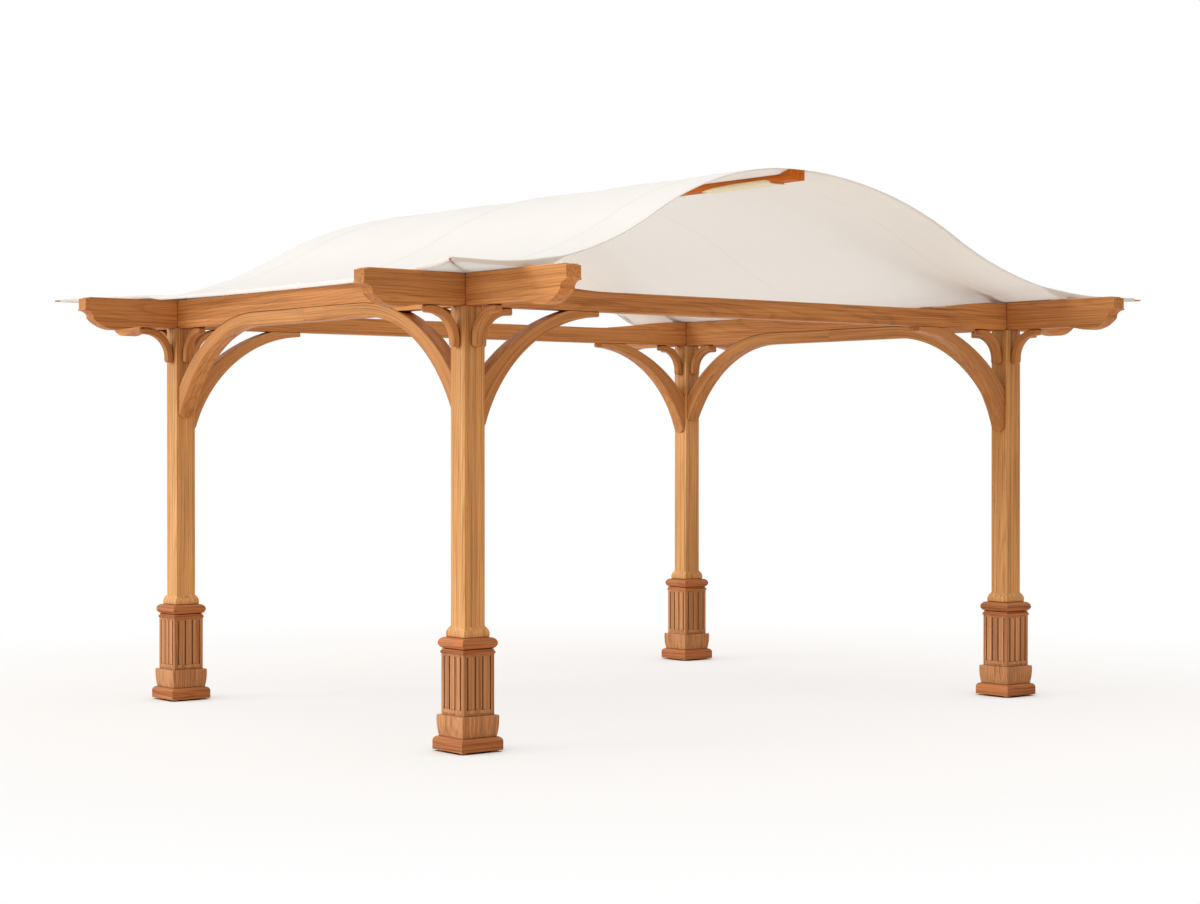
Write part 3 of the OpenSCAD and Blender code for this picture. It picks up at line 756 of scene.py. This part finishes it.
# bent laths under the canvas, on chocks over the side beams
lath = {"Inner": 0.050, "Outer": 2.0035, "Width": 0.030, "Depth": 0.020, "Soft": 0.003, "Below": 0.0004,
        "Crown radius": ogee["crownR"], "Crown height": ogee["crownZ"], "Eave radius": ogee["eaveR"],
        "Eave height": ogee["eaveZ"], "Run": ogee["run"], "Join": ogee["join"], "Material": oakFrame,
        "past": 0.160, "steps": 64, "tone": (0.5, 0.7)}
lathRows = np.linspace(-1, 1, 5) * (halfY + lath["past"])
chock = {"Width": 0.090, "Depth": 0.030, "Height": 0.016, "Soft": 0.002, "Material": oakFrame,
         "tone": (0.4, 0.6)}


def lathTree():
    tree, given = newTree("bent_lath", lath)
    line = geo("MeshLine", {"mode": "OFFSET"}, tree, Count=lath["steps"])
    share = over(geo("InputIndex", tree=tree), lath["steps"] - 1.0)
    x = timesPlus(share, minus(given["Outer"], given["Inner"]), given["Inner"])

    def legOf(radius, offset):
        return calc("SQRT", minus(times(radius, radius), times(offset, offset)))

    crownLeg = legOf(given["Crown radius"], x)
    eaveLeg = legOf(given["Eave radius"], minus(given["Run"], x))
    crown = plus(minus(given["Crown height"], given["Crown radius"]), crownLeg)
    eave = minus(plus(given["Eave height"], given["Eave radius"]), eaveLeg)
    outside = calc("GREATER_THAN", x, given["Join"])

    def pick(inner, outer):
        return plus(inner, times(outside, minus(outer, inner)))

    # half the depth and a hair below the canvas, square to its slope
    lean = pick(over(crownLeg, given["Crown radius"]), over(eaveLeg, given["Eave radius"]))
    below = over(timesPlus(given["Depth"], 0.5, given["Below"]), lean)
    spot = joinXYZ(x, z=minus(pick(crown, eave), below))
    path = geo("MeshToCurve", Mesh=geo("SetPosition", Geometry=line, Position=spot))
    return closeTree(given, sweptGrain(path, roundedBox(given)))


spots = [(0, y, 0) for side in (0, 1) for y in lathRows]
turns = [side * pi for side in (0, 1) for y in lathRows]
growPiece(lathTree(), lath, "canopy_laths", (spots, turns, rng.uniform(*lath["tone"], len(spots))), "frame_wood",
          "left_laths", "right_laths")
spots = [(side * halfX, y, beamTop) for side in (-1, 1) for y in lathRows]
growPiece(uprightTree("lath_chock", chock), chock, "lath_chocks",
          (spots, np.zeros(len(spots)), rng.uniform(*chock["tone"], len(spots))), "frame_wood")
print("laths grown")

# the canopy: one sheet from hem to hem, its plan drawn out to four points
sheet = {
    "tipX": 2.4495, "tipY": 1.9995, "gableMid": 1.6905, "eaveMid": 2.0305, "crownEase": 0.03, "thick": 0.0024,
    "lift": 0.0006, "sag": 0.008, "sagIn": (0.07, 0.5), "sagOut": (1.0, 1.5),
    "hog": 0.45, "hogIn": (1.15, 1.6), "hogOut": (1.8, 1.92),
    "fan": 0.0045, "fanLines": 9, "fanTurn": 0.6, "fanReach": 0.42, "fanIn": (0.03, 0.25), "fanPast": (0.02, 0.12),
    "ease": 0.006, "easePast": (0.015, 0.20), "easeIn": (0.07, 0.4), "easeOut": (1.7, 1.9),
    "droop": 0.017, "droopBow": 1.6, "droopOut": (1.22, 1.39),
    "hemEave": 0.014, "hemGable": 0.004, "hemPoint": 2.3256, "hemTail": 2.3290, "hemOut": 0.0035, "hemFolds": 3,
    "hemBow": 1.5, "hemCrown": (0.055, 0.10), "hemFlat": (0.02, 0.08), "tailEdge": (0.078, 0.056),
    "tailIn": (-0.26, -0.06), "pointRise": 0.005, "pointRun": 0.25,
    "seams": (-0.80, 0.0, 0.80), "seamHalf": 0.0042, "seamUp": 0.0010, "seamRows": (-1.7, -1, 0, 1, 1.7),
    "seamClear": 0.008, "seamTaken": 1.2, "acrossN": 150, "alongN": 96,
}
seamWide = sheet["seamHalf"] / sheet["gableMid"]


def step(low, high, x):
    t = np.clip((x - low) / (high - low), 0, 1)
    return t * t * (3 - 2 * t)


def between(x, rise, fall):
    return step(*rise, x) * (1 - step(*fall, x))


def eaveEdge(b):
    return sheet["eaveMid"] + (sheet["tipX"] - sheet["eaveMid"]) * b * b


def planOf(a, b):
    soft = np.sqrt(a * a + sheet["crownEase"] ** 2)
    return a * eaveEdge(b), b * (sheet["gableMid"] + (sheet["tipY"] - sheet["gableMid"]) * soft)


def canopyZ(x, y, b):
    ax, ay = np.abs(x), np.abs(y)
    pitch, last = lathRows[1] - lathRows[0], lathRows[-1]
    inside = np.sin(pi * (ay % pitch) / pitch) ** 2 * (ay < last)
    dip = between(ax, sheet["sagIn"], sheet["sagOut"]) - sheet["hog"] * between(ax, sheet["hogIn"], sheet["hogOut"])
    z = ogeeZ(x) - sheet["sag"] * inside * dip
    # pull lines fan out from the points
    dx, dy = sheet["tipX"] - ax, sheet["tipY"] - ay
    far = np.hypot(dx, dy)
    fan = np.cos(sheet["fanLines"] * np.arctan2(dy, dx) + sheet["fanTurn"]) * np.exp(-far / sheet["fanReach"])
    z = z + sheet["fan"] * fan * step(*sheet["fanIn"], far) * step(*sheet["fanPast"], ay - last)
    # the free gable edge eases down a little past the last lath
    z = z - sheet["ease"] * step(*sheet["easePast"], ay - last) * between(ax, sheet["easeIn"], sheet["easeOut"])
    # the eave rolls over between the tails
    past = np.clip((ax - lath["Outer"]) / (eaveEdge(b) - lath["Outer"]), 0, 1)
    return z - sheet["droop"] * past ** sheet["droopBow"] * (1 - step(*sheet["droopOut"], ay)) + sheet["lift"]


def sheetRows():
    # rows from gable to gable, closer together at the seams
    seamB = [s + k * seamWide for s in sheet["seams"] for k in sheet["seamRows"]]
    evenB = np.linspace(-1, 1, sheet["alongN"] + 1)
    clear = [b for b in evenB if min(abs(b - s) for s in sheet["seams"]) > sheet["seamClear"]]
    return np.array(sorted(clear + seamB))


def seamAt(b):
    return np.max([(np.abs(b - s) < sheet["seamTaken"] * seamWide) * 1.0 for s in sheet["seams"]], axis=0)


def pointRise(x, y):
    far = np.hypot(sheet["tipX"] - np.abs(x), sheet["tipY"] - np.abs(y))
    return sheet["pointRise"] * step(sheet["pointRun"], 0.0, far)


def hemZ(x, y, off, free, onTail):
    # height of a hem's lower edge: free beside the beams, just over the tails, level under the points
    plain = np.where(off < 0, free, sheet["hemPoint"] + pointRise(x, y))
    return plain + (sheet["hemTail"] - plain) * onTail


def eaveHem(x, y, z):
    off = np.abs(y) - halfY
    return hemZ(x, y, off, z - sheet["hemEave"], step(*sheet["tailEdge"], np.abs(off)))


def gableHem(x, y, z):
    off = np.abs(x) - halfX
    onTail = np.where(off < 0, step(*sheet["tailIn"], off), step(*sheet["tailEdge"], off))
    return hemZ(x, y, off, z - sheet["hemGable"] * step(*sheet["hemCrown"], np.abs(x)), onTail)


def canopySurface():
    half = np.linspace(0, 1, sheet["acrossN"] // 2 + 1)
    folds = sheet["hemFolds"]

    def withHems(middle):
        turned = np.arange(1, folds + 1) / folds
        return (np.concatenate([np.full(folds, -1.0), middle, np.full(folds, 1.0)]),
                np.concatenate([turned[::-1], np.zeros(len(middle)), turned]))

    (aAll, aFold), (bAll, bFold) = withHems(np.concatenate([-half[:0:-1], half])), withHems(sheetRows())
    a, b = np.meshgrid(aAll, bAll, indexing="ij")
    fa, fb = np.meshgrid(aFold, bFold, indexing="ij")
    x, y = planOf(a, b)
    z = canopyZ(x, y, b)
    bottom = np.minimum(z, np.where(fa > 0, eaveHem(x, y, z), gableHem(x, y, z)))
    x = x + np.sign(a) * sheet["hemOut"] * np.sin(fa * pi / 2)
    y = y + np.sign(b) * sheet["hemOut"] * np.sin(fb * pi / 2) * step(*sheet["hemFlat"], np.abs(x))
    z = z + (bottom - z) * np.maximum(fa, fb) ** sheet["hemBow"]
    seam = seamAt(b)
    return x, y, z + sheet["seamUp"] * seam * (fa == 0), seam


def clothPiece(mesh, name, mat, weave, seam, thick, offset):
    keep(mesh, "weave", weave, "POINT")
    keep(mesh, "seam", np.ravel(seam), "POINT")
    mesh.shade_smooth()
    mesh.materials.append(mat)
    piece = linked(name, mesh)
    body = piece.modifiers.new("cloth_thickness", "SOLIDIFY")
    body.thickness = thick
    body.offset = offset
    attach(piece, "root")
    return piece


def clothGrid(name, x, y, z, seam, thick):
    # a sheet over a grid of points, with its flat size measured over the surface
    n, m = x.shape
    faces = [(i * m + j, (i + 1) * m + j, (i + 1) * m + j + 1, i * m + j + 1)
             for i in range(n - 1) for j in range(m - 1)]
    mesh = meshOf(name, np.stack([x, y, z], -1).reshape(-1, 3), faces)
    run = np.cumsum(np.hypot(np.diff(x, axis=0, prepend=x[:1]), np.diff(z, axis=0, prepend=z[:1])), axis=0)
    piece = clothPiece(mesh, name, canvas, np.stack([run, y, np.zeros_like(y)], -1), seam, thick, 1.0)
    flat = (float((run[-1] - run[0]).max()), float(y.max() - y.min()))
    area = sum(p.area for p in mesh.polygons)
    print("%s: %.3f x %.3f m, %.3f m2" % (name, *flat, area))
    return piece, flat, area


canopySheet, canopyFlat, canopyArea = clothGrid("canopy_sheet", *canopySurface(), sheet["thick"])
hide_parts("canopy")

# lining under the laths, in two halves from the ridge beam's sides to the side beams' inner edges
lining = {"inner": 0.0515, "outer": 1.9125, "gap": 0.0225, "edgeGap": 0.0018, "pastLath": 0.017,
          "landFrom": 1.78, "landZ": 2.3288, "thick": 0.0012, "acrossN": 84}


def liningHalf(side):
    share, b = np.meshgrid(np.linspace(0, 1, lining["acrossN"]), sheetRows(), indexing="ij")
    x = lining["inner"] + share * (lining["outer"] - lining["inner"])
    a = x / eaveEdge(b)
    y = planOf(a, b)[1]
    last = lathRows[-1] + lining["pastLath"]
    closing = step(0, 1, (np.abs(y) - last) / (planOf(a, 1.0)[1] - last))
    z = canopyZ(x, y, b) - (lining["gap"] + (lining["edgeGap"] - lining["gap"]) * closing) / ogeeCos(x)
    z = z + (lining["landZ"] - z) * step(lining["landFrom"], lining["outer"], x)
    return [grid[::side] for grid in (side * x, y, z, seamAt(b))]


liningHalves = []
for side, label in ((-1, "left"), (1, "right")):
    half, flat, area = clothGrid(label + "_lining", *liningHalf(side), lining["thick"])
    liningHalves.append(half)

# small linings under the four points, between the tails, with the rods above them
patch = {"faceX": 2.0045, "faceY": 1.4915, "z": 2.3263, "thick": 0.0011, "across": 22, "along": 26}


def pointPatches():
    verts, weave, faces = [], [], []
    firstB = patch["faceY"] / sheet["tipY"]
    gableY = planOf(patch["faceX"] / sheet["tipX"], 1.0)[1]
    n = patch["across"]
    for corner, sx, sy in corners:
        first = len(verts)
        for v in np.linspace(0, 1, patch["along"]):
            ex, ey = planOf(1.0, firstB + (1 - firstB) * v)
            ly = patch["faceY"] + (gableY - patch["faceY"]) * v
            for u in np.linspace(0, 1, n):
                px, py = patch["faceX"] + (ex - patch["faceX"]) * u, ly + (ey - ly) * u
                verts.append((sx * px, sy * py, patch["z"] + float(pointRise(px, py))))
                weave.append((px, py, 0.0))
        for i in range(patch["along"] - 1):
            for k in range(first + i * n, first + i * n + n - 1):
                quad = (k, k + 1, k + n + 1, k + n)
                faces.append(quad if sx * sy > 0 else quad[::-1])
    return meshOf("point_linings", verts, faces), weave


mesh, weave = pointPatches()
pointLinings = clothPiece(mesh, "point_linings", canvasThin, weave, np.zeros(len(weave)), patch["thick"], -1.0)

# pale canvas pockets laced round the foot of the ridge beam near its ends; their yellow is painted light, as light
# shining through two layers of cloth
pocket = {"halfWide": 0.0555, "top": 2.9150, "bottom": 2.8875, "outer": 1.560, "inner": 1.000, "outerRound": 0.07,
          "innerRound": 0.42, "least": 0.002, "squareX": 0.3, "squareZ": 0.6, "slack": 0.08, "rings": 64,
          "sides": 40, "weaveTurn": 0.03, "fill": 0.5}


def bowed(share):
    return np.sqrt(1 - (1 - np.clip(share, pocket["least"], 1)) ** 2)


def ridgePocket():
    ys = np.linspace(0, 1, pocket["rings"]) * (pocket["outer"] - pocket["inner"]) + pocket["inner"]
    full = bowed((ys - pocket["inner"]) / pocket["innerRound"]) * bowed((pocket["outer"] - ys) / pocket["outerRound"])
    turns = np.linspace(0, 2 * pi, pocket["sides"], endpoint=False)
    middle, half = (pocket["top"] + pocket["bottom"]) / 2, (pocket["top"] - pocket["bottom"]) / 2
    verts, weave, faces = [], [], []
    for end in (-1, 1):
        faces += ringFaces(len(verts), len(ys), len(turns))
        for y, f in zip(ys, full):
            wide = pocket["halfWide"] * (1 - pocket["slack"] + pocket["slack"] * f)
            for t in turns:
                cx, cz = cos(t), sin(t)
                verts.append((wide * copysign(abs(cx) ** pocket["squareX"], cx), end * y,
                              middle - half * (1 - f) + half * f * copysign(abs(cz) ** pocket["squareZ"], cz)))
                weave.append((t * pocket["weaveTurn"], end * y, 0.0))
    mesh = meshOf("ridge_pockets", verts, faces)
    turnOutwards(mesh)
    keep(mesh, "weave", weave, "POINT")
    smooth(mesh, 60)
    return mesh


ridgePad = place(ridgePocket(), "ridge_pockets", canvasWarm, "canvas", weighted=False)
print("lining and ridge pockets sewn")

# stitches along the seams and hems
stitch = {"Pitch": 0.0110, "Length": 0.0072, "Thick": 0.0016, "Tall": 0.0040, "Material": threadCream,
          "points": 260, "reach": 0.985, "beside": 2.3, "gableHem": 0.988, "eaveHem": 0.990}


def stitchTree():
    tree, given = newTree("canvas_stitch", stitch)
    rows = geo("MeshToCurve", Mesh=given["Places"])
    dots = geo("ResampleCurve", {"mode": "LENGTH"}, Curve=rows, Length=given["Pitch"])
    ball = geo("MeshUVSphere", tree=tree, Segments=6, Rings=3, Radius=0.5)
    size = joinXYZ(given["Length"], given["Thick"], given["Tall"])
    shape = geo("Transform", Geometry=ball, Scale=size)
    facing = addNode("FunctionNodeAlignRotationToVector", {"axis": "X", "pivot_axis": "AUTO"},
                     Vector=geo("InputTangent", tree=tree)).outputs[0]
    return closeTree(given, shape, dots, facing)


def stitchRows():
    spots, edges = [], []
    along = np.linspace(-stitch["reach"], stitch["reach"], stitch["points"])
    one = np.ones(stitch["points"])
    rows = [(along, one * (s + k * stitch["beside"] * seamWide)) for s in sheet["seams"] for k in (-1, 1)]
    for k in (-1, 1):
        rows += [(along, one * k * stitch["gableHem"]), (one * k * stitch["eaveHem"], along)]
    for a, b in rows:
        x, y = planOf(a, b)
        edges += [(i, i + 1) for i in range(len(spots), len(spots) + len(a) - 1)]
        spots += list(zip(x, y, canopyZ(x, y, b) + sheet["thick"] / 2))
    return spots, edges


spots, edges = stitchRows()
plain = np.zeros(len(spots))
canopyStitches = growPiece(stitchTree(), stitch, "canopy_stitches", (spots, plain, plain), "canvas",
                           edges=edges, angle=60, weighted=False)
print("canopy sewn:", len(canopyStitches.data.polygons), "stitch faces")

# floor, light and camera
stage = {"floorHalf": 60.0, "floorAlbedo": (0.82, 0.73, 0.63), "bounce": (0.84, 0.66, 0.50),
         "shadow": (0.20, 0.17, 0.15), "lift": 0.78, "fadeFrom": 2.8, "fadeTo": 6.2, "contact": 0.55,
         "shutCut": (0.05, 0.70), "openCut": (0.22, 0.96)}


def seenRays(tree):
    rays = addNode("ShaderNodeLightPath", tree=tree).outputs
    mirrored = calc("MAXIMUM", rays["Is Glossy Ray"], rays["Is Transmission Ray"])
    return calc("MAXIMUM", rays["Is Camera Ray"], mirrored)


def layFloor():
    h = stage["floorHalf"]
    mesh = meshOf("floor", [(-h, -h, 0), (h, -h, 0), (h, h, 0), (-h, h, 0)], [(0, 1, 2, 3)])
    mat, tree = newMaterial("studio_floor")
    far = vectorCalc("LENGTH", i0=objectPlace(tree))["Value"]
    fade = spread(far, stage["fadeFrom"], stage["fadeTo"], stage["lift"], 1.0)
    seen = seenRays(tree)
    white = shade("Emission", tree=tree, Color=(1, 1, 1, 1), Strength=1.0)
    # painted shadow: where something stands close above the floor its own white gives way and, for camera rays, its
    # colour turns to the shadow colour, so contact shadows stay dark
    openSky = addNode("ShaderNodeAmbientOcclusion", {"samples": 8}, tree, Distance=stage["contact"]).outputs["AO"]
    shut = times(seen, spread(openSky, *stage["shutCut"], 1.0, 0.0))
    tinted = blendColour("MIX", shut, stage["floorAlbedo"] + (1,), stage["shadow"] + (1,))
    tinted = blendColour("MIX", seen, stage["bounce"] + (1,), tinted)
    matte = shade("BsdfDiffuse", Color=tinted)
    shown = times(times(seen, fade), spread(openSky, *stage["openCut"]))
    mixed = shade("MixShader", i0=shown, i1=matte, i2=white)
    mesh.materials.append(coated(mat, mixed))
    floor = linked("floor", mesh)


# two wide suns, a warm sky, and a panel under the canopy that lights the cloth alone; angles in degrees
studio = {
    "sky": (1.0, 0.82, 0.65), "skyStrength": 0.36,
    "suns": {"key": {"strength": 1.47, "wide": 26, "tilt": 70, "swing": -113, "colour": (0.96, 0.98, 1.0)},
             "top": {"strength": 1.78, "wide": 60, "tilt": 8, "swing": -91, "colour": (0.93, 0.975, 1.0)}},
    "panel": {"size": 6.4, "height": 0.52, "spread": 140, "power": 75, "colour": (0.61, 0.85, 1.0)},
}


def addLamp(name, kind, colour, power, turn):
    lamp = bpy.data.lights.new(name, kind)
    lamp.color = colour
    lamp.energy = power
    holder = linked(name, lamp)
    holder.rotation_euler = turn
    return lamp, holder


def lightStudio():
    world = bpy.data.worlds.new("studio")
    bpy.context.scene.world = world
    world.use_nodes = True
    tree = world.node_tree
    tree.nodes.clear()
    soft = shade("Background", tree=tree, Color=studio["sky"] + (1,), Strength=studio["skyStrength"])
    white = shade("Background", tree=tree, Color=(1, 1, 1, 1), Strength=1.0)
    mixed = shade("MixShader", i0=seenRays(tree), i1=soft, i2=white)
    tree.links.new(mixed, tree.nodes.new("ShaderNodeOutputWorld").inputs[0])
    for name, sun in studio["suns"].items():
        turn = (radians(sun["tilt"]), 0, radians(sun["swing"]))
        addLamp(name, "SUN", sun["colour"], sun["strength"], turn)[0].angle = radians(sun["wide"])
    panel = studio["panel"]
    lamp, holder = addLamp("bounce", "AREA", panel["colour"], panel["power"], (pi, 0, 0))
    lamp.shape = "RECTANGLE"
    lamp.size, lamp.size_y = panel["size"], panel["size"]
    lamp.spread = radians(panel["spread"])
    holder.location = (0, 0, panel["height"])
    holder.visible_camera = False
    holder.visible_glossy = False
    cloths = bpy.data.collections.new("cloths")
    for cloth in (canopySheet, *liningHalves, pointLinings, ridgePad, canopyStitches):
        cloths.objects.link(cloth)
    holder.light_linking.receiver_collection = cloths
    holder.light_linking.blocker_collection = cloths


viewer = {"sensor": 36.0, "lens": 68.72, "far": 200, "place": (-8.4395, -10.5506, 1.5139),
          "tilt": 90 - 0.2939, "heading": -38.7475}


def setCamera():
    camera = bpy.data.cameras.new("camera")
    camera.sensor_fit = "HORIZONTAL"
    camera.sensor_width = viewer["sensor"]
    camera.lens = viewer["lens"]
    camera.clip_end = viewer["far"]
    holder = linked("camera", camera)
    holder.location = viewer["place"]
    holder.rotation_euler = (radians(viewer["tilt"]), 0, radians(viewer["heading"]))
    bpy.context.scene.camera = holder


layFloor()
lightStudio()
setCamera()
bpy.context.scene.view_settings.view_transform = "Standard"
print("stage set")
